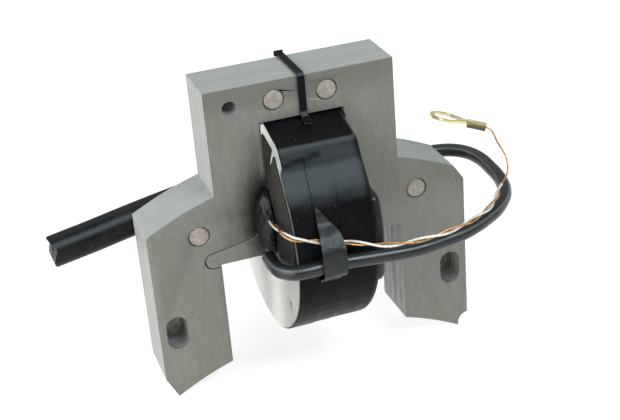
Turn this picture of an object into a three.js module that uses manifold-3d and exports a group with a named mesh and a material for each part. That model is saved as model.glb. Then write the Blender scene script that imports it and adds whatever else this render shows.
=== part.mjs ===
// Small-engine ignition coil: a riveted stack of steel laminations whose crossbar carries a taped
// winding on a bobbin, with its high-tension lead, primary lead, earth pair and ring terminal.
// Millimetres. +X runs across the legs, +Y to the back of the stack, +Z up from the leg tips.
import * as THREE from 'three';
import { mergeVertices } from 'three/addons/utils/BufferGeometryUtils.js';
import Module from 'manifold-3d';

const wasm = await Module();
wasm.setup();

// ---- Lamination stack ----
const stackDepth = 16;
const packCount = 8;
const packGap = 0.1;              // varnish film between two packs
const headHalfWidth = 25.4;
const headTop = 84.6;
const legOuter = 44.3;            // half the width over the legs
const legInner = 25.4;            // half the gap between the legs
const tipHalfSpan = 41.3;         // half the distance between the two leg tips
const flywheelRadius = 85;        // radius of both pole faces
const shoulderRadius = 93.7;
const shoulderCentreZ = -33.8;
const shoulderChamfer = 2.8;      // on the right-hand outer corner
const footChamferRise = 6;        // left foot
const footNotchRadius = 2.8;      // right foot
const footNotchRise = 0.9;
const barHeight = 13.4;           // the crossbar inside the coil
const barUnderside = 36.6;
const windowTop = 73.9;
const kerfWidth = 0.45;           // the cut that lets the coil slip onto the crossbar
const kerfNoseRadius = 2.2;
const kerfNoseReach = 27.4;       // centre of the crossbar's round nose, from the middle
const kerfNoseRise = 1.45;        // the same centre above the crossbar's underside
const kerfFall = [[-0.6, 0.6], [1.4, -1.9], [2.2, -5.4]];  // from the window's corner: out, up
const kerfRunUp = [4.3, 2];       // last point before the nose: out from the window, above the nose
const slotWidth = 5.8;
const slotLength = 9.8;
const slotCentre = [39.4, 19.4];
const rivetRadius = 2.7;
const rivetHoleRadius = 3;
const rivetRecess = 0.15;
const rivetChamfer = 0.35;
const headRivet = [7.1, 79.3];
const shoulderRivet = [30.4, 46];
const plainHoleRadius = 2;
const plainHole = [-18.8, 79.3];

// ---- Winding ----
const coilHalfWidth = 11.3;
const coilRadius = 30.5;
const windowSideGap = 0.3;
const windowTopGap = 0.5;
const coilTopHalfWidth = 7;       // flat top under the window
const coilCorner = [18, 2.8];     // where the flat flank ends: out, below the flat top
const coilFlankAngle = 45;        // degrees above level where the flank joins the round
const barClearance = 0.35;
const tubeWall = 1.2;
const tubeCorner = 1;
const primaryCorner = 5;          // outside corners of the primary, seen along X
const flangeThickness = 1;
const fitGap = 0.15;
const primaryThickness = 5.5;
const paperThickness = 0.6;
const wrapThickness = 3;
const wrapTaperLength = 2;
const wrapTaperDrop = 2.5;
const wireSlot = [1.4, 2.4];      // two slots through the left flange, below the crossbar
const wireSlotPlaces = [[0.6, 12.7], [-6.2, 12.9]];  // back, and below the coil's axis
const coverThickness = 0.5;
const coverGap = 0.1;
const coverRimFrom = 187.6;       // degrees, where the cover meets the flange's rim
const coverRimTo = 135;
// The cover's lower edge from under the crossbar to the rim: in front of the stack's middle, below
// the crossbar's underside.
const coverFoot = [[-5.5, 0.3], [-1.5, 4.4], [1.8, 5.6], [6.4, 5.3], [15, 2.2], [26, -1.8]];
// Its notch at the top: in front of the stack's face, above the coil's axis.
const coverNotch = [[10.9, 25.9], [6.9, 21.1], [5.6, 21.6], [9, 26.7], [2.2, 28.6], [1.5, 27.7],
  [1.5, 16.2]];
const coverShoulder = 14.2;       // where the cover reaches the stack's face, above the coil's axis
const faceGap = 0.3;              // between a piece and the lamination face beside it

// ---- Outlets ----
const bossThickness = 1.6;
const bossBevel = 0.7;
const bossCorner = 3;
const bossRimGap = 3.2;           // from the coil's rim to the boss's front
const bossSpan = [-11.8, 13.2];   // below and above the coil's axis
const outletWall = 1.5;
const outletLength = 5.6;
const outletGap = 0.65;           // from the stack's back face
const outletRise = 4.3;           // above the coil's axis
const pottingRadii = [3.9, 5.2, 9.6];
const pottingPlace = [3, 4.3];    // its middle: in front of the stack's face, above the coil's axis

// ---- Strap and tie ----
const strapSpan = [-5.4, 0.8];
const strapThickness = 0.5;
const leadStandOff = 0.4;         // between the coil and the lead under the strap
// Angle above level in degrees, and how much of its full lift over the lead the strap has there.
const strapLift = [[27, 0], [21, 0], [17, 0.15], [14, 0.5], [9, 0.75], [4, 1], [-3, 1], [-6, 0.66],
  [-9, 0.12], [-13, 0]];
const tieWidth = 2;
const tieThickness = 0.5;
const tieCentreX = 0.3;
const tieFoot = [[3.6, -1.2], [1, -0.1], [0, 1.2]];  // in front of the face, above the window's top
const tieCorner = 0.6;
const tieTail = [2.6, 1.5];       // across, up

// ---- Leads ----
const leadRadius = 1.9;
const highTensionRadius = 4.35;
const copperRadius = 0.27;
const tinnedRadius = 0.32;
const twistRadius = 0.42;         // from the pair's middle line to each wire's
const twistPitch = 17;
const cordGap = 0.3;

// ---- Ring terminal ----
const ringOuterRadius = 4.4;
const ringEyeRadius = 3.3;
const ringThickness = 0.7;
const neckWidth = 2.2;
const barrelLength = 5.1;
const barrelRadius = 1.2;
const barrelBore = 0.6;
const barrelFromEye = 6.1;        // barrel's near end, from the middle of the eye
const terminalCentre = [42.37, -1.44, 61.51];
const terminalTurn = [-9.1, 15.3, -24.9];  // degrees about X, Y and Z, Z first

// ---- Values worked out from those above ----
const stackBack = stackDepth / 2;
const poleCentreZ = -Math.sqrt(flywheelRadius ** 2 - tipHalfSpan ** 2);
const barTop = barUnderside + barHeight;
const coilAxisZ = barUnderside + barHeight / 2;
const coilTop = windowTop - windowTopGap;
const windowHalfWidth = coilHalfWidth + windowSideGap;
const coverFace = -coilHalfWidth - coverGap - coverThickness;
const radians = THREE.MathUtils.degToRad;

// ---- Materials ----
function finish(colour, roughness, metalness) {
  return () => new THREE.MeshStandardMaterial({ color: colour, roughness, metalness });
}
const laminationSteel = finish(0x8c8a80, 0.55, 0.6);
const rivetSteel = finish(0xb9aca0, 0.45, 0.7);
const fibre = finish(0xcfd2c9, 0.75, 0);
const bobbinPlastic = finish(0xb9b29a, 0.6, 0);
const blackTape = finish(0x1b1c1f, 0.35, 0);
const pottingResin = finish(0x141414, 0.3, 0);
const enamelledCopper = finish(0xb8703c, 0.35, 0.9);
const tinnedWire = finish(0xd9d6c8, 0.4, 0.6);
const insulation = finish(0x1d1e21, 0.4, 0);
const insulatingPaper = finish(0xa98a5c, 0.8, 0);
const brass = finish(0xc9b45c, 0.3, 0.95);

// ---- Solids and meshes ----
function toSolid(geometry) {
  const bare = geometry.clone();
  bare.deleteAttribute('normal');
  bare.deleteAttribute('uv');
  const merged = mergeVertices(bare, 1e-4);
  return new wasm.Manifold(new wasm.Mesh({
    numProp: 3,
    vertProperties: new Float32Array(merged.attributes.position.array),
    triVerts: new Uint32Array(merged.index.array),
  }));
}

function toGeometry(solid) {
  const { vertProperties, triVerts } = solid.getMesh();
  const geometry = new THREE.BufferGeometry();
  geometry.setAttribute('position', new THREE.BufferAttribute(vertProperties, 3));
  geometry.setIndex(new THREE.BufferAttribute(triVerts, 1));
  geometry.computeVertexNormals();
  return geometry;
}

function cut(geometry, tools) {
  const solid = tools.reduce((body, tool) => body.subtract(toSolid(tool)), toSolid(geometry));
  return toGeometry(solid);
}

function join(geometries) {
  const [first, ...others] = geometries.map(toSolid);
  return toGeometry(others.reduce((body, other) => body.add(other), first));
}

const coil = new THREE.Group();

function place(name, geometry, material, group = coil) {
  const mesh = new THREE.Mesh(geometry, material());
  mesh.name = name;
  group.add(mesh);
  return mesh;
}

// A shape drawn in (Y, Z), extruded from x0 to x1.
function alongX(shape, x0, x1, options = {}) {
  const settings = { depth: x1 - x0, bevelEnabled: false, curveSegments: 12, ...options };
  const axes = new THREE.Matrix4().makeBasis(
    new THREE.Vector3(0, 1, 0), new THREE.Vector3(0, 0, 1), new THREE.Vector3(1, 0, 0));
  return new THREE.ExtrudeGeometry(shape, settings).applyMatrix4(axes).translate(x0, 0, 0);
}

// A shape drawn in (X, Z), extruded from y0 to y1.
function alongY(shape, y0, y1, curveSegments = 6) {
  const geometry = new THREE.ExtrudeGeometry(
    shape, { depth: y1 - y0, bevelEnabled: false, curveSegments });
  return geometry.rotateX(Math.PI / 2).translate(0, y1, 0);
}

// A bar along a polyline, as a shape of constant width.
function ribbon(points, width) {
  const left = [];
  const right = [];
  points.forEach((point, i) => {
    const before = points[Math.max(i - 1, 0)];
    const after = points[Math.min(i + 1, points.length - 1)];
    const run = new THREE.Vector2(after[0] - before[0], after[1] - before[1]).normalize();
    const side = new THREE.Vector2(-run.y, run.x).multiplyScalar(width / 2);
    left.push(new THREE.Vector2(point[0] + side.x, point[1] + side.y));
    right.unshift(new THREE.Vector2(point[0] - side.x, point[1] - side.y));
  });
  return new THREE.Shape([...left, ...right]);
}

function polygon(points) {
  return new THREE.Shape(points.map(([u, v]) => new THREE.Vector2(u, v)));
}

function rectangle(u, v, width, height) {
  const [right, up] = [width / 2, height / 2];
  return polygon([[u - right, v - up], [u + right, v - up], [u + right, v + up], [u - right, v + up]]);
}

function discShape(x, z, radius) {
  const shape = new THREE.Shape();
  shape.absarc(x, z, radius, 0, 2 * Math.PI);
  return shape;
}

// ---- Laminations ----
function laminationOutline() {
  const shoulderAngle = (x) => Math.acos(x / shoulderRadius);
  const poleAngle = (x) => Math.acos(x / flywheelRadius);
  const shoulderZ = (x) => shoulderCentreZ + shoulderRadius * Math.sin(shoulderAngle(x));
  const shape = new THREE.Shape();
  shape.moveTo(-tipHalfSpan, 0);
  shape.absarc(0, poleCentreZ, flywheelRadius,
    Math.PI - poleAngle(tipHalfSpan), Math.PI - poleAngle(legInner), true);
  shape.lineTo(-legInner, barUnderside);
  shape.lineTo(legInner, barUnderside);
  shape.absarc(0, poleCentreZ, flywheelRadius, poleAngle(legInner), poleAngle(tipHalfSpan), true);
  shape.lineTo(legOuter - footNotchRadius, footNotchRise);
  shape.absarc(legOuter, footNotchRise, footNotchRadius, Math.PI, Math.PI / 2, true);
  shape.lineTo(legOuter, shoulderZ(legOuter) - shoulderChamfer);
  const chamferX = legOuter - shoulderChamfer;
  shape.absarc(0, shoulderCentreZ, shoulderRadius,
    shoulderAngle(chamferX), shoulderAngle(headHalfWidth), false);
  shape.lineTo(headHalfWidth, headTop);
  shape.lineTo(-headHalfWidth, headTop);
  shape.absarc(0, shoulderCentreZ, shoulderRadius,
    Math.PI - shoulderAngle(headHalfWidth), Math.PI - shoulderAngle(legOuter), false);
  shape.lineTo(-legOuter, footChamferRise);
  return shape;
}

function windowShape() {
  return rectangle(0, (barTop + windowTop) / 2, 2 * windowHalfWidth, windowTop - barTop);
}

function slotShape(x, z) {
  const run = (slotLength - slotWidth) / 2;
  const shape = new THREE.Shape();
  shape.absarc(x, z + run, slotWidth / 2, 0, Math.PI);
  shape.absarc(x, z - run, slotWidth / 2, Math.PI, 2 * Math.PI);
  return shape;
}

// The cut runs from the window's lower corner, down beside the coil and round the crossbar's nose.
function kerfShape(side) {
  const noseZ = barUnderside + kerfNoseRise;
  const points = kerfFall.map(([out, up]) => [windowHalfWidth + out, barTop + up]);
  points.push([windowHalfWidth + kerfRunUp[0], noseZ + kerfNoseRadius + kerfRunUp[1]]);
  const steps = 10;
  const [noseStart, noseEnd] = [83, -90].map(radians);
  for (let i = 0; i <= steps; i += 1) {
    const angle = noseStart + (noseEnd - noseStart) * i / steps;
    points.push([kerfNoseReach + kerfNoseRadius * Math.cos(angle),
      noseZ + kerfNoseRadius * Math.sin(angle)]);
  }
  points.push([legInner - kerfWidth, noseZ - kerfNoseRadius]);
  return ribbon(points.map(([x, z]) => [side * x, z]), kerfWidth);
}

const rivetPlaces = [
  ['rivet_head_left', -headRivet[0], headRivet[1]],
  ['rivet_head_right', headRivet[0], headRivet[1]],
  ['rivet_shoulder_left', -shoulderRivet[0], shoulderRivet[1]],
  ['rivet_shoulder_right', shoulderRivet[0], shoulderRivet[1]],
];

function laminationPack(front, back, kerfSide) {
  const outline = laminationOutline();
  outline.holes.push(windowShape());
  outline.holes.push(discShape(...plainHole, plainHoleRadius));
  for (const side of [-1, 1]) {
    outline.holes.push(slotShape(side * slotCentre[0], slotCentre[1]));
  }
  for (const [, x, z] of rivetPlaces) {
    outline.holes.push(discShape(x, z, rivetHoleRadius));
  }
  const kerf = alongY(kerfShape(kerfSide), front - packGap, back + packGap);
  return cut(alongY(outline, front, back), [kerf]);
}

function addLaminations() {
  const pitch = stackDepth / packCount;
  for (let i = 0; i < packCount; i += 1) {
    const front = -stackBack + i * pitch + (i > 0 ? packGap / 2 : 0);
    const back = -stackBack + (i + 1) * pitch - (i < packCount - 1 ? packGap / 2 : 0);
    const kerfSide = i % 2 === 0 ? -1 : 1;
    place(`lamination_pack_${i + 1}`, laminationPack(front, back, kerfSide), laminationSteel);
  }
}

function addRivets() {
  const half = stackBack - rivetRecess;
  const profile = [[0, -half], [rivetRadius - rivetChamfer, -half], [rivetRadius, -half + rivetChamfer],
    [rivetRadius, half - rivetChamfer], [rivetRadius - rivetChamfer, half], [0, half]];
  for (const [name, x, z] of rivetPlaces) {
    const rivet = new THREE.LatheGeometry(profile.map(([r, y]) => new THREE.Vector2(r, y)), 24);
    place(name, rivet, rivetSteel).position.set(x, 0, z);
  }
}

// ---- Bobbin and windings ----
// The round outline of the coil with its flat top, drawn in (Y, Z) and moved in by inset.
function coilShape(inset) {
  const radius = coilRadius - inset;
  const flank = radians(coilFlankAngle);
  const cornerY = coilCorner[0] - inset / 2;
  const cornerZ = coilTop - coilCorner[1] - inset;
  const shape = new THREE.Shape();
  shape.absarc(0, coilAxisZ, radius, Math.PI - flank, 2 * Math.PI + flank, false);
  shape.lineTo(cornerY, cornerZ);
  shape.lineTo(coilTopHalfWidth, coilTop - inset);
  shape.lineTo(-coilTopHalfWidth, coilTop - inset);
  shape.lineTo(-cornerY, cornerZ);
  return shape;
}

// A rectangle with round corners about the crossbar, standing off it by offset.
function barShape(offset, corner) {
  const y = stackBack + offset - corner;
  const z = barHeight / 2 + offset - corner;
  const shape = new THREE.Shape();
  shape.absarc(y, coilAxisZ + z, corner, 0, Math.PI / 2);
  shape.absarc(-y, coilAxisZ + z, corner, Math.PI / 2, Math.PI);
  shape.absarc(-y, coilAxisZ - z, corner, Math.PI, 1.5 * Math.PI);
  shape.absarc(y, coilAxisZ - z, corner, 1.5 * Math.PI, 2 * Math.PI);
  return shape;
}

function withHole(shape, hole) {
  shape.holes.push(hole);
  return shape;
}

const tubeOffset = barClearance + tubeWall;
const primaryOffset = tubeOffset + fitGap + primaryThickness;
const paperOffset = primaryOffset + fitGap + paperThickness;
const flangeInner = coilHalfWidth - flangeThickness;
const windingHalf = flangeInner - fitGap;
const paperCorner = primaryCorner + paperThickness;

function addBobbin() {
  const tube = withHole(barShape(tubeOffset, tubeCorner), barShape(barClearance, tubeCorner / 2));
  place('bobbin_tube', alongX(tube, -coilHalfWidth, coilHalfWidth, { curveSegments: 3 }), bobbinPlastic);
  const hole = () => barShape(tubeOffset + fitGap, tubeCorner);
  const left = withHole(coilShape(0), hole());
  left.holes.push(...wireSlotPlaces.map(([y, drop]) => rectangle(y, coilAxisZ - drop, ...wireSlot)));
  place('flange_left', alongX(left, -coilHalfWidth, -flangeInner, { curveSegments: 18 }), fibre);
  const right = withHole(coilShape(wrapThickness + fitGap), hole());
  place('flange_right', alongX(right, flangeInner, coilHalfWidth, { curveSegments: 18 }), fibre);
}

function addWindings() {
  const coarse = { curveSegments: 5 };
  const primary = withHole(barShape(primaryOffset, primaryCorner), barShape(tubeOffset + fitGap, tubeCorner));
  place('primary_winding', alongX(primary, -windingHalf, windingHalf, coarse), enamelledCopper);
  const paper = withHole(barShape(paperOffset, paperCorner), barShape(primaryOffset + fitGap, primaryCorner));
  place('layer_insulation', alongX(paper, -windingHalf, windingHalf, coarse), insulatingPaper);
  const secondary = withHole(coilShape(wrapThickness + fitGap), barShape(paperOffset + fitGap, paperCorner));
  place('secondary_winding', alongX(secondary, -windingHalf, windingHalf), enamelledCopper);
}

function addOuterWrap() {
  const full = alongX(coilShape(0), -windingHalf - wrapTaperLength, coilHalfWidth - wrapTaperLength, {
    bevelEnabled: true, bevelThickness: wrapTaperLength, bevelSize: wrapTaperDrop,
    bevelOffset: -wrapTaperDrop, bevelSegments: 2, curveSegments: 20,
  });
  const leftTrim = new THREE.BoxGeometry(4 * wrapTaperLength, 3 * coilRadius, 3 * coilRadius)
    .translate(-windingHalf - 2 * wrapTaperLength, 0, coilAxisZ);
  const inside = alongX(coilShape(wrapThickness), -2 * coilRadius, 2 * coilRadius, { curveSegments: 20 });
  place('outer_wrap', cut(full, [leftTrim, inside]), blackTape);
}

// ---- Pieces on the coil's ends ----
function addCoverTape() {
  const outline = polygon(coverFoot.map(([front, drop]) => [-front, barUnderside - drop]));
  outline.absarc(0, coilAxisZ, coilRadius - coverThickness, radians(coverRimFrom), radians(coverRimTo), true);
  coverNotch.forEach(([front, rise]) => outline.lineTo(-stackBack - front, coilAxisZ + rise));
  const besideStack = -stackBack - faceGap;
  outline.lineTo(besideStack, coilAxisZ + coverShoulder);
  outline.lineTo(besideStack, barUnderside - faceGap);
  place('cover_tape', alongX(outline, coverFace, coverFace + coverThickness), blackTape);
}

function addTerminalBoss() {
  const [front, back] = [bossRimGap + bossBevel - coilRadius, -stackBack - faceGap - bossBevel];
  const [low, high] = [coilAxisZ + bossSpan[0] + bossBevel, coilAxisZ + bossSpan[1] - bossBevel];
  const shape = new THREE.Shape();
  shape.moveTo(back, low);
  shape.lineTo(back, high);
  shape.absarc(front + bossCorner, high - bossCorner, bossCorner, Math.PI / 2, Math.PI, false);
  shape.absarc(front + bossCorner, low + bossCorner, bossCorner, Math.PI, 1.5 * Math.PI, false);
  const start = coilHalfWidth + faceGap;
  const boss = alongX(shape, start + bossBevel, start + bossThickness - bossBevel, {
    bevelEnabled: true, bevelThickness: bossBevel, bevelSize: bossBevel, bevelSegments: 2, curveSegments: 4,
  });
  place('terminal_boss', boss, pottingResin);
}

// Resin in the corner between the stack's face and the cover, open where the leads come out of it.
function addPotting() {
  const middle = [coverFace, -stackBack - pottingPlace[0], coilAxisZ + pottingPlace[1]];
  const lump = new THREE.SphereGeometry(1, 16, 12).scale(...pottingRadii).translate(...middle);
  const reach = 4 * pottingRadii[2];
  const besideCover = new THREE.BoxGeometry(reach, reach, reach)
    .translate(coverFace - faceGap + reach / 2, middle[1], middle[2]);
  const behindFace = new THREE.BoxGeometry(reach, reach, reach)
    .translate(middle[0], -stackBack - faceGap + reach / 2, middle[2]);
  const leadWay = tube(vectors(primaryLeadRoute.slice(0, 4)), leadRadius + cordGap, 10, 8);
  const pairWay = tube(vectors(pairRoute.slice(0, 4)), twistRadius + tinnedRadius + cordGap, 10, 8);
  place('potting_lump', cut(lump, [besideCover, behindFace, leadWay, pairWay]), pottingResin);
}

// A collar with the lead pushed part of the way into it.
function addHighTensionOutlet() {
  const bore = highTensionRadius + cordGap;
  const outer = bore + outletWall;
  const profile = [[bore, 0], [outer, 0], [outer, outletLength / 2], [outer - outletWall / 2, outletLength],
    [bore, outletLength], [bore, 0]];
  const collar = new THREE.LatheGeometry(profile.map(([r, y]) => new THREE.Vector2(r, y)), 24);
  const mesh = place('high_tension_outlet', collar, pottingResin);
  mesh.rotation.z = Math.PI / 2;
  mesh.position.set(-coilHalfWidth - faceGap, stackBack + outletGap + outer, coilAxisZ + outletRise);
}

// ---- Strap over the leads, and the tie over the head ----
function addStrap() {
  const fullLift = leadStandOff + 2 * leadRadius + cordGap - faceGap;
  const at = (angle, lift) => {
    const radius = coilRadius + faceGap + lift;
    return [-radius * Math.cos(radians(angle)), coilAxisZ + radius * Math.sin(radians(angle))];
  };
  const inner = strapLift.map(([angle, share]) => at(angle, share * fullLift));
  const outer = strapLift.map(([angle, share]) => at(angle, share * fullLift + strapThickness)).reverse();
  place('lead_strap', alongX(polygon([...inner, ...outer]), ...strapSpan), blackTape);
}

function addTie() {
  const face = stackBack + faceGap + tieThickness / 2;
  const top = headTop + faceGap + tieThickness / 2;
  const half = tieFoot.map(([out, up]) => [face + out, windowTop + up]);
  half.push([face, top - tieCorner], [face - tieCorner, top]);
  const route = [...half.map(([y, z]) => [-y, z]), ...half.reverse()];
  const [left, right] = [tieCentreX - tieWidth / 2, tieCentreX + tieWidth / 2];
  const strip = alongX(ribbon(route, tieThickness), left, right);
  const tail = new THREE.BoxGeometry(tieTail[0], tieThickness, tieTail[1])
    .translate(right - tieTail[0] / 2, face, top - tieCorner + tieTail[1] / 2);
  place('tie_strip', join([strip, tail]), blackTape);
}

// ---- Leads ----
const primaryLeadRoute = [
  [-14.2, -14.6, 39.2], [-14.7, -18.5, 39.8], [-15.2, -23, 41], [-15.2, -28.4, 42.3], [-13, -32.5, 43.2],
  [-8.4, -33.3, 43.4], [-3, -32.8, 43.3], [1.2, -32.8, 43.2], [6, -33, 42.9], [11, -33.3, 42.7],
  [16.2, -33.7, 42.6], [21.3, -33.7, 42.6], [26.4, -33, 42.7], [32.4, -32, 42.9], [37.4, -30, 43],
  [41.7, -27.4, 43], [45.5, -24.7, 43], [49.1, -21.1, 43], [52.3, -16.7, 43], [54.3, -12, 43.1],
  [55.4, -6.8, 43.4], [55.6, -1.2, 43.8], [55.4, 4, 44.2], [54, 8.8, 44.5], [51.1, 12.2, 44.7],
  [46.6, 14.4, 44.7], [41, 14.7, 44.6], [34, 13.9, 44.4], [27, 14.8, 44], [20.8, 18.6, 43.6],
  [16.9, 24.7, 43.3], [14, 30.4, 43], [8, 33.9, 42.9], [0, 34, 42.6], [-7, 34.2, 42],
  [-13, 32.6, 41], [-15.8, 27.4, 40.1], [-17.4, 19, 39.1], [-21.2, 14.8, 38.7], [-26.6, 12.6, 38.9],
];
const highTensionRoute = [
  [-13.6, 14.8, 47.6], [-17.8, 14.8, 47.6], [-22, 14.7, 47.5], [-28, 14.1, 47], [-34, 13.5, 46.3],
  [-39.5, 13.1, 45.5], [-45, 12.8, 44.6], [-50, 12.6, 43.7], [-55.5, 12.4, 42.7], [-61, 12.2, 41.8],
  [-66.5, 12, 40.9],
];
const pairRoute = [
  [-13.4, -15.6, 49.6], [-13.4, -20, 50.8], [-13.6, -24.4, 51.8], [-13.6, -28.4, 52.3],
  [-12, -31.3, 51.9], [-8.8, -31.6, 50.8], [-5, -31.5, 49.6], [-1.5, -31.5, 48.6], [2, -31.8, 47.8],
  [5.6, -33, 47.1], [9.6, -34.6, 46.6], [14, -35.6, 46.3], [18.6, -36, 46.2], [23.4, -35.8, 46.2],
  [28, -35, 46.3], [32.4, -33.8, 46.4], [36.4, -32, 46.4], [40, -29.8, 46.4], [43.3, -27.1, 46.4],
  [46.2, -24, 46.4], [48.6, -20.6, 46.4], [50.8, -17.4, 46.4],
];
const copperTail = [
  [52.4, -15.7, 46.4], [54, -14.4, 47], [55.3, -12.8, 48.5], [55.8, -11, 50.5], [55.4, -9.6, 52.4],
  [54.5, -8.3, 54.5], [53.9, -7.5, 56.6], [53.4, -6.9, 57.7], [52.7, -6.3, 58.35],
];

function vectors(points) {
  return points.map((point) => new THREE.Vector3(...point));
}

function tube(points, radius, sides, steps) {
  const section = new THREE.Shape();
  section.absarc(0, 0, radius, 0, 2 * Math.PI);
  const path = new THREE.CatmullRomCurve3(points, false, 'centripetal');
  return new THREE.ExtrudeGeometry(section, { steps, extrudePath: path, curveSegments: sides / 2 });
}

// One wire of the twisted pair: a helix about the pair's middle line.
function twistedWire(phase) {
  const middle = new THREE.CatmullRomCurve3(vectors(pairRoute), false, 'centripetal');
  const turns = middle.getLength() / twistPitch;
  const samples = 70;
  const wire = [];
  for (let i = 0; i <= samples; i += 1) {
    const along = middle.getTangentAt(i / samples);
    const up = new THREE.Vector3(0, 0, 1).addScaledVector(along, -along.z).normalize();
    const across = new THREE.Vector3().crossVectors(along, up);
    const angle = phase + 2 * Math.PI * turns * i / samples;
    wire.push(middle.getPointAt(i / samples)
      .addScaledVector(up, twistRadius * Math.cos(angle))
      .addScaledVector(across, twistRadius * Math.sin(angle)));
  }
  return wire;
}

function addLeads() {
  place('primary_lead', tube(vectors(primaryLeadRoute), leadRadius, 8, 64), insulation);
  place('high_tension_lead', tube(vectors(highTensionRoute), highTensionRadius, 12, 12), insulation);
  place('tinned_wire', tube(twistedWire(0), tinnedRadius, 8, 80), tinnedWire);
  const copper = [...twistedWire(Math.PI), ...vectors(copperTail)];
  place('copper_wire', tube(copper, copperRadius, 8, 80), enamelledCopper);
}

// ---- Ring terminal ----
// In its own group: the eye's middle at the origin, its face up, the barrel along +X. The plate is a
// teardrop, its sides running straight from the ring to the neck.
function addRingTerminal() {
  const group = new THREE.Group();
  group.position.set(...terminalCentre);
  group.rotation.set(...terminalTurn.map(radians), 'ZYX');
  coil.add(group);
  const plate = { depth: ringThickness, bevelEnabled: false, curveSegments: 16 };
  const neckEnd = barrelFromEye + barrelLength;
  const halfNeck = neckWidth / 2;
  const toNeck = Math.atan2(halfNeck, barrelFromEye);
  const leaves = toNeck + Math.acos(ringOuterRadius / Math.hypot(barrelFromEye, halfNeck));
  const outline = polygon([[neckEnd, -halfNeck], [neckEnd, halfNeck], [barrelFromEye, halfNeck]]);
  outline.absarc(0, 0, ringOuterRadius, leaves, 2 * Math.PI - leaves, false);
  outline.lineTo(barrelFromEye, -halfNeck);
  const ring = new THREE.ExtrudeGeometry(outline, plate);
  const through = { ...plate, depth: 3 * ringThickness };
  const eye = new THREE.ExtrudeGeometry(discShape(0, 0, ringEyeRadius), through)
    .translate(0, 0, -ringThickness);
  const barrel = new THREE.CylinderGeometry(barrelRadius, barrelRadius, barrelLength, 16)
    .rotateZ(Math.PI / 2).translate(barrelFromEye + barrelLength / 2, 0, 0);
  const bore = new THREE.CylinderGeometry(barrelBore, barrelBore, 2 * barrelLength, 12)
    .rotateZ(Math.PI / 2).translate(barrelFromEye + barrelLength / 2, 0, 0);
  place('ring_terminal', cut(join([ring, barrel]), [eye, bore]), brass, group);
}

addLaminations();
addRivets();
addBobbin();
addWindings();
addOuterWrap();
addCoverTape();
addTerminalBoss();
addPotting();
addHighTensionOutlet();
addStrap();
addTie();
addLeads();
addRingTerminal();

export default coil;
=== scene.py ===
# Looks for the flywheel-magneto ignition coil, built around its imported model.
# Sizes are in millimetres in the row frame and become metres where a mesh is made.
import math

import bpy
from mathutils import Matrix, Vector, noise


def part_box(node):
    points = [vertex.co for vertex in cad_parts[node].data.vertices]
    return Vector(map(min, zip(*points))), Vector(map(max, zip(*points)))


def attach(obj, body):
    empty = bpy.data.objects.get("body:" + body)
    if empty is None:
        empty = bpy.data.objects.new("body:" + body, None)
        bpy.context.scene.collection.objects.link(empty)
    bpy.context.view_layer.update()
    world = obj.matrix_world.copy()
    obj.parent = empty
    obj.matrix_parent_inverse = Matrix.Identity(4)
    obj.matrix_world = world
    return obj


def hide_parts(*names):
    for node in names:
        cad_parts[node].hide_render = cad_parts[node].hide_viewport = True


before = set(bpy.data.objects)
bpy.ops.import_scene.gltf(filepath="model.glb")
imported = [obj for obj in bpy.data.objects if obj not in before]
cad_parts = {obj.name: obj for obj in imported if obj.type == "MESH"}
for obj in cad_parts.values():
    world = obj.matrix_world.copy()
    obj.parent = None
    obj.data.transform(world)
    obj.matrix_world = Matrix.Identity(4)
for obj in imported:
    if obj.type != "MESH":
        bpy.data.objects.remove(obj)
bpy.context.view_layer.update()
MM = 0.001


def node_box(node):
    """A CAD node's low and high corners in millimetres."""
    return [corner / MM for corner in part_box(node)]


# The stack and the coil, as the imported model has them.
STACK_LOW, STACK_HIGH = node_box("lamination_pack_1")
FRONT_FACE = STACK_LOW.y
HEAD_TOP = STACK_HIGH.z
FLANGE_LOW, FLANGE_HIGH = node_box("flange_left")
COIL_HALF_WIDTH = -FLANGE_LOW.x
COIL_RADIUS = FLANGE_HIGH.y
COIL_AXIS_Z = FLANGE_LOW.z + COIL_RADIUS
WRAP_LOW, WRAP_HIGH = node_box("outer_wrap")
EYE_MIDDLE = (42.37, -1.44, 61.51)

# Places on the sheets, drawn on by the steel: the crossbar between the legs, and the screw slots.
LEG_INNER = 26
BAR_UNDERSIDE = 36.9
SLOT_SIDES = (36.2, 42.6)
SLOT_ENDS = (13, 26)


# ---------------------------------------------------------------- camera, floor and lights
def add_camera():
    """A long lens in front of the coil, to the left and above, rolled a little."""
    data = bpy.data.cameras.new("camera")
    data.lens = 78.18
    data.sensor_width = 36.0
    data.clip_start = 0.01
    camera = bpy.data.objects.new("camera", data)
    bpy.context.scene.collection.objects.link(camera)
    camera.location = Vector((-93.34, -311.59, 204.95)) * MM
    azimuth, elevation, roll = (math.radians(a) for a in (-17.08, 26.49, -4.87))
    back = Vector((math.sin(azimuth) * math.cos(elevation),
                   -math.cos(azimuth) * math.cos(elevation), math.sin(elevation)))
    turn = (-back).to_track_quat("-Z", "Y").to_matrix() @ Matrix.Rotation(roll, 3, "Z")
    camera.rotation_euler = turn.to_euler()
    bpy.context.scene.camera = camera


def add_area_light(name, place, target, size, power, colour=(1, 1, 1)):
    data = bpy.data.lights.new(name, "AREA")
    data.shape = "RECTANGLE"
    data.size, data.size_y = size
    data.energy = power
    data.color = colour
    light = bpy.data.objects.new(name, data)
    bpy.context.scene.collection.objects.link(light)
    light.location = Vector(place)
    light.rotation_euler = (Vector(target) - light.location).to_track_quat("-Z", "Y").to_euler()


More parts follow.
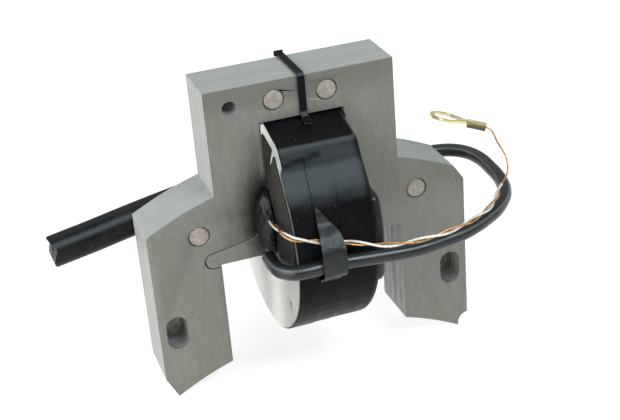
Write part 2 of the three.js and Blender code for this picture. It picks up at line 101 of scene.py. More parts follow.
def add_studio():
    """Even white air, a soft light from the left, a small one above the coil and one on the floor."""
    scene = bpy.context.scene
    scene.view_settings.view_transform = "Standard"
    world = bpy.data.worlds.new("studio_air")
    world.use_nodes = True
    world.node_tree.nodes["Background"].inputs["Color"].default_value = (1, 1, 1, 1)
    world.node_tree.nodes["Background"].inputs["Strength"].default_value = 0.42
    scene.world = world
    middle = (0, 0, 0.045)
    add_area_light("left_light", (-0.7, -0.12, 0.24), middle, (1.1, 0.8), 7.8)
    add_area_light("coil_light", (0.2, -0.44, 0.58), middle, (0.36, 0.2), 2.6, (0.86, 1.0, 1.06))
    add_area_light("floor_light", (0.1, 0.5, 0.9), middle, (0.9, 0.6), 1.6)


# ---------------------------------------------------------------- shader building
def feed(tree, socket, value):
    """Links a socket to another one, or gives it a plain value."""
    if isinstance(value, bpy.types.NodeSocket):
        tree.links.new(value, socket)
    else:
        socket.default_value = value


def put(tree, kind, settings=None, **inputs):
    """A node with its settings, and each input given a value or linked to a socket."""
    node = tree.nodes.new(kind)
    for name, value in (settings or {}).items():
        setattr(node, name, value)
    for name, value in inputs.items():
        socket = node.inputs[int(name[1:])] if name[0] == "i" and name[1:].isdigit() else \
            node.inputs[name.replace("_", " ")]
        feed(tree, socket, value)
    return node


def maths(tree, operation, first, second=0.0):
    return put(tree, "ShaderNodeMath", {"operation": operation}, i0=first, i1=second).outputs[0]


def blend_colours(tree, share, first, second, kind="MIX"):
    node = put(tree, "ShaderNodeMix", {"data_type": "RGBA", "blend_type": kind})
    for index, value in ((0, share), (6, first), (7, second)):
        feed(tree, node.inputs[index], (*value, 1) if isinstance(value, tuple) else value)
    return node.outputs[2]


def ramp(tree, value, low, high):
    """0 below low, 1 above high, smooth between."""
    node = put(tree, "ShaderNodeMapRange", {"interpolation_type": "SMOOTHSTEP"}, Value=value)
    node.inputs["From Min"].default_value = low
    node.inputs["From Max"].default_value = high
    return node.outputs["Result"]


def new_group(name, inputs, outputs):
    tree = bpy.data.node_groups.new(name, "ShaderNodeTree")
    for socket_name, kind, value in inputs:
        socket = tree.interface.new_socket(socket_name, in_out="INPUT", socket_type=kind)
        if value is not None:
            socket.default_value = value
    for socket_name, kind in outputs:
        tree.interface.new_socket(socket_name, in_out="OUTPUT", socket_type=kind)
    return tree, tree.nodes.new("NodeGroupInput").outputs, tree.nodes.new("NodeGroupOutput").inputs


def use_group(tree, group, **inputs):
    node = tree.nodes.new("ShaderNodeGroup")
    node.node_tree = group
    for name, value in inputs.items():
        feed(tree, node.inputs[name.replace("_", " ")], value)
    return node.outputs


def mottle_group():
    """Two sizes of cloud over one another, from 0 to 1."""
    tree, given, out = new_group(
        "mottle",
        [("Vector", "NodeSocketVector", None), ("Scale", "NodeSocketFloat", 400.0),
         ("Fine", "NodeSocketFloat", 5.0)],
        [("Mask", "NodeSocketFloat")])
    coarse = put(tree, "ShaderNodeTexNoise", Vector=given["Vector"], Scale=given["Scale"], Detail=4.0)
    finer = maths(tree, "MULTIPLY", given["Scale"], given["Fine"])
    fine = put(tree, "ShaderNodeTexNoise", Vector=given["Vector"], Scale=finer, Detail=2.0)
    both = maths(tree, "ADD", coarse.outputs["Fac"], fine.outputs["Fac"])
    tree.links.new(ramp(tree, both, 0.65, 1.35), out["Mask"])
    return tree


def specks_group():
    """Sparse round specks of dust or pits, 1 on a speck."""
    tree, given, out = new_group(
        "specks",
        [("Vector", "NodeSocketVector", None), ("Scale", "NodeSocketFloat", 900.0),
         ("Size", "NodeSocketFloat", 0.12), ("Share", "NodeSocketFloat", 0.12)],
        [("Mask", "NodeSocketFloat")])
    cells = put(tree, "ShaderNodeTexVoronoi", Vector=given["Vector"], Scale=given["Scale"])
    near = maths(tree, "LESS_THAN", cells.outputs["Distance"], given["Size"])
    lucky = put(tree, "ShaderNodeTexWhiteNoise", {"noise_dimensions": "3D"},
                Vector=cells.outputs["Color"])
    chosen = maths(tree, "LESS_THAN", lucky.outputs["Value"], given["Share"])
    tree.links.new(maths(tree, "MULTIPLY", near, chosen), out["Mask"])
    return tree


PACKS = 8
SHEETS_IN_PACK = 4
SHEET_PITCH = 0.5
MOTTLE = mottle_group()
SPECKS = specks_group()


def new_material(name, roughness=0.5, metallic=0.0, **plain):
    """A material, its node tree, its object coordinates and its surface shader."""
    material = bpy.data.materials.new(name)
    material.use_nodes = True
    tree = material.node_tree
    surface = tree.nodes["Principled BSDF"]
    surface.inputs["Roughness"].default_value = roughness
    surface.inputs["Metallic"].default_value = metallic
    for socket, value in plain.items():
        surface.inputs[socket.replace("_", " ")].default_value = value
    places = tree.nodes.new("ShaderNodeTexCoord").outputs["Object"]
    return material, tree, places, surface


def stretched(tree, places, scale):
    return put(tree, "ShaderNodeMapping", Vector=places, Scale=scale).outputs["Vector"]


def distance_from(tree, places, middle, weights=(1.0, 1.0, 1.0)):
    """Distance in metres from a place given in millimetres, each axis counted by its weight."""
    away = put(tree, "ShaderNodeVectorMath", {"operation": "SUBTRACT"}, i0=places,
               i1=tuple(MM * c for c in middle)).outputs["Vector"]
    away = put(tree, "ShaderNodeVectorMath", {"operation": "MULTIPLY"}, i0=away,
               i1=weights).outputs["Vector"]
    return put(tree, "ShaderNodeVectorMath", {"operation": "LENGTH"}, i0=away).outputs["Value"]


def bump(tree, surface, height, distance, strength=1.0):
    node = put(tree, "ShaderNodeBump", Height=height, Distance=distance, Strength=strength)
    tree.links.new(node.outputs["Normal"], surface.inputs["Normal"])


def sheet_edges_group():
    """The sheets seen edge on: fine streaks that run along the edge, and a tone for each sheet."""
    tree, given, out = new_group(
        "sheet_edges", [("Vector", "NodeSocketVector", None), ("Contrast", "NodeSocketFloat", 0.3)],
        [("Color", "NodeSocketColor")])
    streaks = use_group(tree, MOTTLE, Vector=stretched(tree, given["Vector"], (0.1, 2.5, 0.1)),
                        Scale=900.0, Fine=3.0)
    depth = put(tree, "ShaderNodeSeparateXYZ", Vector=given["Vector"]).outputs["Y"]
    sheet = maths(tree, "FLOOR", maths(tree, "MULTIPLY", depth, 1 / (SHEET_PITCH * MM)))
    tone = put(tree, "ShaderNodeTexWhiteNoise", {"noise_dimensions": "1D"}, W=sheet).outputs["Value"]
    both = maths(tree, "ADD", maths(tree, "MULTIPLY", streaks["Mask"], 0.6),
                 maths(tree, "MULTIPLY", tone, 0.4))
    lightness = maths(tree, "SUBTRACT", 1.0, maths(
        tree, "MULTIPLY", given["Contrast"], maths(tree, "SUBTRACT", 1.0, both)))
    tree.links.new(blend_colours(tree, lightness, (0.02, 0.018, 0.015), (0.45, 0.47, 0.45)), out["Color"])
    return tree


def box_mask(tree, places, low, high, soft=0.0004):
    """1 inside a box given in millimetres."""
    axes = put(tree, "ShaderNodeSeparateXYZ", Vector=places)
    mask = 1.0
    for axis in range(3):
        for bound, sign in ((low[axis], 1), (high[axis], -1)):
            if bound is None:
                continue
            reach = maths(tree, "MULTIPLY", axes.outputs[axis], sign)
            inside = ramp(tree, reach, sign * bound * MM - soft, sign * bound * MM + soft)
            mask = maths(tree, "MULTIPLY", mask, inside)
    return mask


def lamination_steel():
    """Rolled sheet: warm mottled faces with upright grain; ground outer edges, rough punched ones."""
    material, tree, places, surface = new_material("lamination_steel", 0.5, 0.25)
    grain = use_group(tree, MOTTLE, Vector=stretched(tree, places, (1.0, 1.0, 0.2)), Scale=800.0, Fine=4.0)
    cloud = use_group(tree, MOTTLE, Vector=places, Scale=110.0, Fine=6.0)
    face = blend_colours(tree, grain["Mask"], (0.165, 0.166, 0.141), (0.214, 0.217, 0.19))
    face = blend_colours(tree, maths(tree, "MULTIPLY", cloud["Mask"], 0.5), face, (0.182, 0.175, 0.138))
    pits = use_group(tree, SPECKS, Vector=places, Scale=420.0, Size=0.16, Share=0.05)
    face = blend_colours(tree, maths(tree, "MULTIPLY", pits["Mask"], 0.5), face, (0.1, 0.09, 0.07))
    # A soft dark patch on the face beside the lump, about twice as tall as wide.
    reach = distance_from(tree, places, (-12.2, FRONT_FACE, 46.8), (1.0, 1.0, 0.45))
    ragged = maths(tree, "ADD", reach, maths(tree, "MULTIPLY", grain["Mask"], 0.0006))
    dark_patch = maths(tree, "SUBTRACT", 1.0, ramp(tree, ragged, 0.003, 0.0085))
    face = blend_colours(tree, maths(tree, "MULTIPLY", dark_patch, 0.93), face, (0.015, 0.015, 0.015))
    # Painted shade standing in for a dark reflection: the face is painted darker in a band below the head's
    # top edge.
    painted_shade_near_top = box_mask(tree, places, (None, None, HEAD_TOP - 6), (None, None, None), soft=0.0035)
    face = blend_colours(tree, maths(tree, "MULTIPLY", painted_shade_near_top, 0.45), face, (0.09, 0.09, 0.078))
    near, far = SLOT_SIDES
    lower, upper = SLOT_ENDS
    left_slot = box_mask(tree, places, (-far, None, lower), (-near, None, upper))
    right_slot = box_mask(tree, places, (near, None, lower), (far, None, upper))
    between_legs = box_mask(tree, places, (-LEG_INNER, None, None), (LEG_INNER, None, BAR_UNDERSIDE))
    inner = maths(tree, "MAXIMUM", between_legs, maths(tree, "MAXIMUM", left_slot, right_slot))
    contrast = maths(tree, "ADD", 0.2, maths(tree, "MULTIPLY", inner, 0.65))
    edge = use_group(tree, sheet_edges_group(), Vector=places, Contrast=contrast)["Color"]
    side = put(tree, "ShaderNodeSeparateXYZ", Vector=tree.nodes.new("ShaderNodeTexCoord").outputs["Normal"])
    flat = ramp(tree, maths(tree, "ABSOLUTE", side.outputs["Y"]), 0.4, 0.8)
    tree.links.new(blend_colours(tree, flat, edge, face), surface.inputs["Base Color"])
    rough = maths(tree, "ADD", 0.45, maths(tree, "MULTIPLY", grain["Mask"], 0.15))
    tree.links.new(rough, surface.inputs["Roughness"])
    bump(tree, surface, grain["Mask"], 0.00002, 0.4)
    return material


def rivet_steel():
    """Pinkish dull steel, a little cloudy."""
    material, tree, places, surface = new_material("rivet_steel", 0.42, 0.4)
    cloud = use_group(tree, MOTTLE, Vector=places, Scale=500.0, Fine=4.0)
    colour = blend_colours(tree, cloud["Mask"], (0.25, 0.215, 0.185), (0.39, 0.35, 0.30))
    tree.links.new(colour, surface.inputs["Base Color"])
    bump(tree, surface, cloud["Mask"], 0.00004, 0.6)
    return material


def round_mask(tree, places, middle, reach, soft):
    """1 inside a distance from a line that runs across the coil; all in millimetres."""
    distance = distance_from(tree, places, (0, *middle), (0.0, 1.0, 1.0))
    return maths(tree, "SUBTRACT", 1.0, ramp(tree, distance, (reach - soft) * MM, (reach + soft) * MM))


def fibre_board():
    """Off-white board, a little grey-green, with smudges and specks and a tan rim; painted shade towards the
    front, painted light towards the back, and painted shade in and round the dent.
    """
    material, tree, places, surface = new_material("fibre", 0.7)
    smudge = use_group(tree, MOTTLE, Vector=places, Scale=90.0, Fine=9.0)
    colour = blend_colours(tree, smudge["Mask"], (0.47, 0.485, 0.45), (0.61, 0.625, 0.585))
    # Painted light and shade: the board is painted darker towards the front and lighter towards the back.
    depth = put(tree, "ShaderNodeSeparateXYZ", Vector=places).outputs["Y"]
    front = blend_colours(tree, 1.0, colour, (0.62, 0.62, 0.61), kind="MULTIPLY")
    back = blend_colours(tree, 1.0, colour, (1.5, 1.5, 1.5), kind="MULTIPLY")
    colour = blend_colours(tree, ramp(tree, depth, -0.02, -0.004), front, back)
    dirt = use_group(tree, SPECKS, Vector=places, Scale=500.0, Size=0.14, Share=0.05)
    colour = blend_colours(tree, maths(tree, "MULTIPLY", dirt["Mask"], 0.5), colour, (0.24, 0.22, 0.19))
    # Painted shade round the dent in the lower front, and painted shade that darkens the dent itself.
    shade = round_mask(tree, places, (-18.6, 26.2), 1.4, 2.2)
    colour = blend_colours(tree, maths(tree, "MULTIPLY", shade, 0.55), colour, (0.2, 0.18, 0.15))
    dent = round_mask(tree, places, (-19.2, 26.5), 0.7, 0.6)
    colour = blend_colours(tree, dent, colour, (0.02, 0.02, 0.02))
    # The tan rim shows between the coil's axis and the flank.
    board = round_mask(tree, places, (0, COIL_AXIS_Z), COIL_RADIUS - 0.62, 0.06)
    shown = box_mask(tree, places, (None, None, COIL_AXIS_Z), (None, None, COIL_AXIS_Z + 21.3))
    rim = maths(tree, "MULTIPLY", maths(tree, "SUBTRACT", 1.0, board), shown)
    colour = blend_colours(tree, rim, colour, (0.19, 0.16, 0.12))
    tree.links.new(colour, surface.inputs["Base Color"])
    bump(tree, surface, smudge["Mask"], 0.00005, 0.4)
    return material


def seam_mask(tree, places, across, slope, height, low, high):
    """1 on a thin seam down the coil's front: its place across at a height, its slope and its ends."""
    axes = put(tree, "ShaderNodeSeparateXYZ", Vector=places)
    rise = maths(tree, "SUBTRACT", axes.outputs["Z"], height * MM)
    line = maths(tree, "ADD", maths(tree, "MULTIPLY", rise, slope), across * MM)
    off = maths(tree, "ABSOLUTE", maths(tree, "SUBTRACT", axes.outputs["X"], line))
    thin = maths(tree, "SUBTRACT", 1.0, ramp(tree, off, 0.06 * MM, 0.2 * MM))
    return maths(tree, "MULTIPLY", thin, box_mask(tree, places, (None, None, low), (None, 0, high)))


def black_covering(name, colour, roughness, shine, wave, height, painted_sheen=0.0, seams=()):
    """Tape, resin or cable covering: dark, in dull patches, dusty, with a painted sheen where it faces up."""
    material, tree, places, surface = new_material(name, roughness, Specular_IOR_Level=shine)
    patch = use_group(tree, MOTTLE, Vector=places, Scale=90.0, Fine=6.0)
    base = blend_colours(tree, patch["Mask"], tuple(0.6 * c for c in colour), tuple(1.3 * c for c in colour))
    specks = use_group(tree, SPECKS, Vector=places, Scale=700.0, Size=0.12, Share=0.06)
    base = blend_colours(tree, maths(tree, "MULTIPLY", specks["Mask"], 0.8), base, (0.1, 0.1, 0.105))
    # Painted sheen: faces that look up are painted a lighter blue-grey, standing in for a soft highlight.
    up = put(tree, "ShaderNodeSeparateXYZ", Vector=tree.nodes.new("ShaderNodeTexCoord").outputs["Normal"])
    sheen_facing_up = maths(tree, "MULTIPLY", ramp(tree, up.outputs["Z"], 0.4, 0.66), maths(
        tree, "SUBTRACT", 1.0, ramp(tree, up.outputs["Z"], 0.68, 0.86)))
    base = blend_colours(tree, maths(tree, "MULTIPLY", sheen_facing_up, painted_sheen), base, (0.092, 0.107, 0.114))
    for seam in seams:
        line = maths(tree, "MULTIPLY", seam_mask(tree, places, *seam), 0.75)
        base = blend_colours(tree, line, base, (0.003, 0.003, 0.003))
    tree.links.new(base, surface.inputs["Base Color"])
    rough = maths(tree, "ADD", roughness - 0.06, maths(tree, "MULTIPLY", patch["Mask"], 0.14))
    tree.links.new(rough, surface.inputs["Roughness"])
    ripples = use_group(tree, MOTTLE, Vector=places, Scale=wave, Fine=3.0)
    bump(tree, surface, ripples["Mask"], height, 0.5)
    return material


def aged_cover_tape():
    """The patch on the coil's end: black towards the stack, worn brown-grey towards the front."""
    material, tree, places, surface = new_material("aged_cover_tape", 0.5, Specular_IOR_Level=0.2)
    patch = use_group(tree, MOTTLE, Vector=stretched(tree, places, (1.0, 1.0, 0.35)), Scale=260.0, Fine=5.0)
    worn = blend_colours(tree, patch["Mask"], (0.015, 0.013, 0.012), (0.036, 0.032, 0.028))
    axes = put(tree, "ShaderNodeSeparateXYZ", Vector=places)
    # The wear starts at a slanted line and fades out below.
    across_line, down_line = -0.868, -0.496
    forward = maths(tree, "ADD", maths(tree, "MULTIPLY", axes.outputs["Y"], across_line),
                    maths(tree, "MULTIPLY", axes.outputs["Z"], down_line))
    past_line = ramp(tree, forward, -0.0200, -0.0180)
    high_up = ramp(tree, axes.outputs["Z"], 0.046, 0.056)
    worn_share = maths(tree, "MULTIPLY", past_line, high_up)
    colour = blend_colours(tree, worn_share, (0.012, 0.012, 0.012), worn)
    tree.links.new(colour, surface.inputs["Base Color"])
    ripples = use_group(tree, MOTTLE, Vector=places, Scale=300.0, Fine=4.0)
    bump(tree, surface, ripples["Mask"], 0.0001, 0.6)
    return material


def wire_metal(name, dark, light, roughness, metallic):
    """A plain finish that clouds between two colours; the bobbin and the paper use it too."""
    material, tree, places, surface = new_material(name, roughness, metallic)
    patch = use_group(tree, MOTTLE, Vector=places, Scale=350.0, Fine=4.0)
    tree.links.new(blend_colours(tree, patch["Mask"], dark, light), surface.inputs["Base Color"])
    bump(tree, surface, patch["Mask"], 0.00003, 0.4)
    return material


def ring_brass():
    """Pale brass on the ring; the crimped barrel browner, with painted light on its top and painted shade
    underneath.
    """
    material, tree, places, surface = new_material("brass", 0.28, 0.8)
    patch = use_group(tree, MOTTLE, Vector=places, Scale=160.0, Fine=3.0)
    ring = blend_colours(tree, patch["Mask"], (0.74, 0.62, 0.27), (0.88, 0.8, 0.48))
    # Painted light and shade on the barrel: lighter where it faces up, darker where it faces down.
    up = put(tree, "ShaderNodeSeparateXYZ", Vector=tree.nodes.new("ShaderNodeTexCoord").outputs["Normal"])
    barrel = blend_colours(tree, ramp(tree, up.outputs["Z"], 0.1, 0.75), (0.13, 0.1, 0.05),
                           (0.72, 0.62, 0.33))
    crimped = ramp(tree, distance_from(tree, places, EYE_MIDDLE), 5.6 * MM, 6.3 * MM)
    tree.links.new(blend_colours(tree, crimped, ring, barrel), surface.inputs["Base Color"])
    bump(tree, surface, patch["Mask"], 0.00003, 0.3)
    return material


def wound_copper():
    """Enamelled turns side by side, each a ridge round the bar."""
    material, tree, places, surface = new_material("copper_turns", 0.35, 0.8)
    across = put(tree, "ShaderNodeSeparateXYZ", Vector=places).outputs["X"]
    turns = maths(tree, "SINE", maths(tree, "MULTIPLY", across, 2 * math.pi / 0.0006))
    tree.links.new(blend_colours(tree, ramp(tree, turns, -1.0, 1.0), (0.16, 0.05, 0.015),
                                 (0.52, 0.22, 0.08)), surface.inputs["Base Color"])
    bump(tree, surface, turns, 0.0001)
    return material


STEEL = lamination_steel()
RIVET = rivet_steel()
FIBRE = fibre_board()
TAPE_SEAMS = [(-4.8, 0.095, 62.0, 52.0, 67.5), (1.2, 0.1, 54.0, 47.0, 60.0)]
# The sheen shares given to the coverings below are painted highlight on their upward faces.
TAPE = black_covering("black_tape", (0.0062, 0.0066, 0.0073), 0.36, 0.05, 160.0, 0.0001, painted_sheen=0.54,
                      seams=TAPE_SEAMS)
STRAP_TAPE = black_covering("strap_tape", (0.013, 0.0145, 0.015), 0.33, 0.3, 260.0, 0.00012)
COVER_TAPE = aged_cover_tape()
RESIN = black_covering("potting_resin", (0.0055, 0.0055, 0.006), 0.3, 0.28, 520.0, 0.00014)
COVERING = black_covering("lead_insulation", (0.010, 0.0108, 0.012), 0.34, 0.45, 120.0, 0.00001, painted_sheen=1.0)
CABLE = black_covering("cable_insulation", (0.008, 0.0085, 0.009), 0.38, 0.15, 120.0, 0.00002, painted_sheen=0.5)
COPPER = wire_metal("copper", (0.38, 0.15, 0.045), (0.74, 0.38, 0.14), 0.3, 0.7)
TINNED = wire_metal("tinned_copper", (0.62, 0.58, 0.48), (0.86, 0.84, 0.77), 0.4, 0.4)
BRASS = ring_brass()
BOBBIN = wire_metal("bobbin_plastic", (0.42, 0.38, 0.28), (0.52, 0.48, 0.37), 0.6, 0.0)
PAPER = wire_metal("insulating_paper", (0.35, 0.24, 0.12), (0.50, 0.36, 0.19), 0.7, 0.0)
TURNS = wound_copper()


# ---------------------------------------------------------------- mesh helpers
def deselect_all():
    if bpy.context.object and bpy.context.object.mode != "OBJECT":
        bpy.ops.object.mode_set(mode="OBJECT")
    bpy.ops.object.select_all(action="DESELECT")


def choose(piece):
    deselect_all()
    piece.select_set(True)
    bpy.context.view_layer.objects.active = piece


def finish_piece(piece, material, slot, *nodes, angle=35):
    """Gives a finished piece its material and body and hides the nodes that it stands for; the slot is not
    used.
    """
    choose(piece)
    piece.data.materials.clear()
    piece.data.materials.append(material)
    bpy.ops.object.shade_smooth_by_angle(angle=math.radians(angle))
    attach(piece, "root")
    if nodes:
        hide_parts(*nodes)
    return piece


def shaped_grid(name, columns, rows, place):
    """A sheet of faces bent into shape: place(u, v) is each corner's place in millimetres."""
    deselect_all()
    bpy.ops.mesh.primitive_grid_add(x_subdivisions=columns, y_subdivisions=rows, size=2)
    piece = bpy.context.object
    piece.name = name
    for corner in piece.data.vertices:
        corner.co = Vector(place((corner.co.x + 1) / 2, (corner.co.y + 1) / 2)) * MM
    bpy.ops.object.mode_set(mode="EDIT")
    bpy.ops.mesh.select_all(action="SELECT")
    bpy.ops.mesh.remove_doubles(threshold=1e-7)
    bpy.ops.mesh.normals_make_consistent(inside=False)
    bpy.ops.object.mode_set(mode="OBJECT")
    return piece


def close_ends(piece):
    """Fills the open ends of a tube made as a grid."""
    choose(piece)
    bpy.ops.object.mode_set(mode="EDIT")
    bpy.ops.mesh.select_all(action="SELECT")
    bpy.ops.mesh.fill_holes(sides=0)
    bpy.ops.mesh.normals_make_consistent(inside=False)
    bpy.ops.object.mode_set(mode="OBJECT")


def copy_of_node(node, name):
    """A merged, loose copy of a CAD node's mesh."""
    choose(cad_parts[node])
    bpy.ops.object.duplicate()
    piece = bpy.context.object
    piece.name = name
    piece.parent = None
    for key in list(piece.keys()):
        del piece[key]
    bpy.ops.object.mode_set(mode="EDIT")
    bpy.ops.mesh.select_all(action="SELECT")
    bpy.ops.mesh.remove_doubles(threshold=1e-7)
    bpy.ops.object.mode_set(mode="OBJECT")
    return piece


def apply_modifier(piece, kind, **settings):
    choose(piece)
    modifier = piece.modifiers.new(kind.lower(), kind)
    for key, value in settings.items():
        setattr(modifier, key, value)
    bpy.ops.object.modifier_apply(modifier=modifier.name)


def move_corners(piece, shift):
    """Moves each corner by shift(place), both in millimetres."""
    for corner in piece.data.vertices:
        corner.co += Vector(shift(corner.co / MM)) * MM


def ripple(place, scale, seed=0.0):
    """Smooth noise from -1 to 1, the same each run; scale is the size of a ripple in millimetres."""
    return noise.noise(place / scale + Vector((seed, seed * 1.7, -seed)))


def step(value, edge, width):
    """0 below an edge, 1 above it, smooth over the width."""
    t = min(max((value - edge) / width + 0.5, 0.0), 1.0)
    return t * t * (3 - 2 * t)


def along_profile(profile, t):
    """The place a share t along a polyline of equal-length tuples."""
    lengths = [math.dist(a, b) for a, b in zip(profile, profile[1:])]
    left = t * sum(lengths)
    for a, b, length in zip(profile, profile[1:], lengths):
        if left <= length or b is profile[-1]:
            share = min(left / length, 1.0)
            return tuple(p + (q - p) * share for p, q in zip(a, b))
        left -= length


def profile_rows(profile, spacing):
    """Points along a polyline, no further apart than the spacing, that keep all of its corners."""
    rows = [profile[0]]
    for a, b in zip(profile, profile[1:]):
        parts = max(1, math.ceil(math.dist(a, b) / spacing))
        rows += [tuple(p + (q - p) * i / parts for p, q in zip(a, b)) for i in range(1, parts + 1)]
    return rows


def smooth_path(points, per_span):
    """Centripetal Catmull-Rom points through a route, in millimetres."""
    route = [Vector(p) for p in points]
    route = [2 * route[0] - route[1], *route, 2 * route[-1] - route[-2]]
    path = []
    for a, b, c, d in zip(route, route[1:], route[2:], route[3:]):
        knots = [0.0]
        for first, second in ((a, b), (b, c), (c, d)):
            knots.append(knots[-1] + math.sqrt((second - first).length))
        k0, k1, k2, k3 = knots
        for i in range(per_span):
            t = k1 + (k2 - k1) * i / per_span
            ab = a.lerp(b, (t - k0) / (k1 - k0))
            bc = b.lerp(c, (t - k1) / (k2 - k1))
            cd = c.lerp(d, (t - k2) / (k3 - k2))
            abc = ab.lerp(bc, (t - k0) / (k2 - k0))
            bcd = bc.lerp(cd, (t - k1) / (k3 - k1))
            path.append(abc.lerp(bcd, (t - k1) / (k2 - k1)))
    return [*path, route[-2]]


def cord_curve(name, path, radius, material):
    """A round cord as one open spline with closed ends."""
    data = bpy.data.curves.new(name, "CURVE")
    data.dimensions = "3D"
    spline = data.splines.new("POLY")
    spline.points.add(len(path) - 1)
    for point, place in zip(spline.points, path):
        point.co = (*(place * MM), 1)
    spline.use_smooth = True
    data.bevel_depth = radius * MM
    data.bevel_resolution = 5
    data.use_fill_caps = True
    data.materials.append(material)
    cord = bpy.data.objects.new(name, data)
    bpy.context.scene.collection.objects.link(cord)
    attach(cord, "root")
    return cord


def cut_cable(name, path, radius):
    """A thick cable as a mesh, its far end torn in a soft S."""
    last = len(path) - 1
    rows = [(0, share) for share in (0.0, 0.5, 0.9)] + [(i, 1.0) for i in range(last + 1)]
    rows += [(last, share) for share in (0.97, 0.85, 0.7, 0.5, 0.3, 0.15, 0.0)]
    # How far the torn end stands out, from its bottom to its top.
    torn = smooth_path([(-1.0, -1.0, 0), (-0.5, 0.3, 0), (0.0, -0.4, 0), (0.4, -1.4, 0), (1.0, -0.1, 0)], 8)

    def place(u, v):
        index, share = rows[round(v * (len(rows) - 1))]
        along = (path[min(index + 1, last)] - path[max(index - 1, 0)]).normalized()
        side = along.cross(Vector((0, 0, 1))).normalized()
        up = side.cross(along)
        height = share * math.sin(2 * math.pi * u)
        stands_out = min(torn, key=lambda spot: abs(spot.x - height)).y
        near_end = max(0.0, 1 - (last - index) / 6)
        return (path[index] + radius * (share * math.cos(2 * math.pi * u) * side + height * up)
                + along * stands_out * near_end)
    return shaped_grid(name, 64, len(rows) - 1, place)


# ---------------------------------------------------------------- routes of the leads
PRIMARY_LEAD_ROUTE = [
    (-14.2, -14.6, 39.2), (-14.7, -18.5, 39.8), (-15.2, -23, 41), (-15.2, -28.4, 42.3),
    (-13, -32.5, 43.2), (-8.4, -33.3, 43.4), (-3, -32.8, 43.3), (1.2, -32.8, 43.2), (6, -33, 42.9),
    (11, -33.3, 42.7), (16.2, -33.7, 42.6), (21.3, -33.7, 42.6), (26.4, -33, 42.7), (32.4, -32, 42.9),
    (37.4, -30, 43), (41.7, -27.4, 43), (45.5, -24.7, 43), (49.1, -21.1, 43), (52.3, -16.7, 43),
    (54.3, -12, 43.1), (55.4, -6.8, 43.4), (55.6, -1.2, 43.8), (55.4, 4, 44.2), (54, 8.8, 44.5),
    (51.1, 12.2, 44.7), (46.6, 14.4, 44.7), (41, 14.7, 44.6), (34, 13.9, 44.4), (27, 14.8, 44),
    (20.8, 18.6, 43.6), (16.9, 24.7, 43.3), (14, 30.4, 43), (8, 33.9, 42.9), (0, 34, 42.6),
    (-7, 34.2, 42), (-13, 32.6, 41), (-15.8, 27.4, 40.1), (-17.4, 19, 39.1), (-21.2, 14.8, 38.7),
    (-26.6, 12.6, 38.9),
]
HIGH_TENSION_ROUTE = [
    (-13.6, 14.8, 47.6), (-17.8, 14.8, 47.6), (-22, 14.7, 47.5), (-28, 14.1, 47), (-34, 13.5, 46.3),
    (-39.5, 13.1, 45.5), (-45, 12.8, 44.6), (-50, 12.6, 43.7), (-55.5, 12.4, 42.7), (-61, 12.2, 41.8),
    (-66.5, 12, 40.9),
]
PAIR_ROUTE = [
    (-13.4, -15.6, 49.6), (-13.4, -20, 50.8), (-13.6, -24.4, 51.8), (-13.6, -28.4, 52.3),
    (-12, -31.3, 51.9), (-8.8, -31.6, 50.8), (-5, -31.5, 49.6), (-1.5, -31.5, 48.6), (2, -31.8, 47.8),
    (5.6, -33, 47.1), (9.6, -34.6, 46.6), (14, -35.6, 46.3), (18.6, -36, 46.2), (23.4, -35.8, 46.2),
    (28, -35, 46.3), (32.4, -33.8, 46.4), (36.4, -32, 46.4), (40, -29.8, 46.4), (43.3, -27.1, 46.4),
    (46.2, -24, 46.4), (48.6, -20.6, 46.4), (50.8, -17.4, 46.4),
]
COPPER_TAIL = [
    (52.4, -15.7, 46.4), (54, -14.4, 47), (55.3, -12.8, 48.5), (55.8, -11, 50.5), (55.4, -9.6, 52.4),
    (54.5, -8.3, 54.5), (53.9, -7.5, 56.6), (53.4, -6.9, 57.7), (52.7, -6.3, 58.35), (51.9, -5.88, 58.62),
    (51.2, -5.56, 58.83),
]
LEAD_RADIUS = 1.9
HIGH_TENSION_RADIUS = 4.35
COPPER_RADIUS = 0.24
TINNED_RADIUS = 0.32
TWIST_RADIUS = 0.42
TWIST_PITCH = 17.0


def twisted_wire(phase):
    """One wire of the pair: a helix about the pair's middle line."""
    middle = smooth_path(PAIR_ROUTE, 12)
    wire = []
    travelled = 0.0
    for i, place in enumerate(middle):
        ahead = middle[min(i + 1, len(middle) - 1)]
        behind = middle[max(i - 1, 0)]
        along = (ahead - behind).normalized()
        up = (Vector((0, 0, 1)) - along * along.z).normalized()
        across = along.cross(up)
        angle = phase + 2 * math.pi * travelled / TWIST_PITCH
        wire.append(place + TWIST_RADIUS * (math.cos(angle) * up + math.sin(angle) * across))
        travelled += (ahead - place).length
    return wire


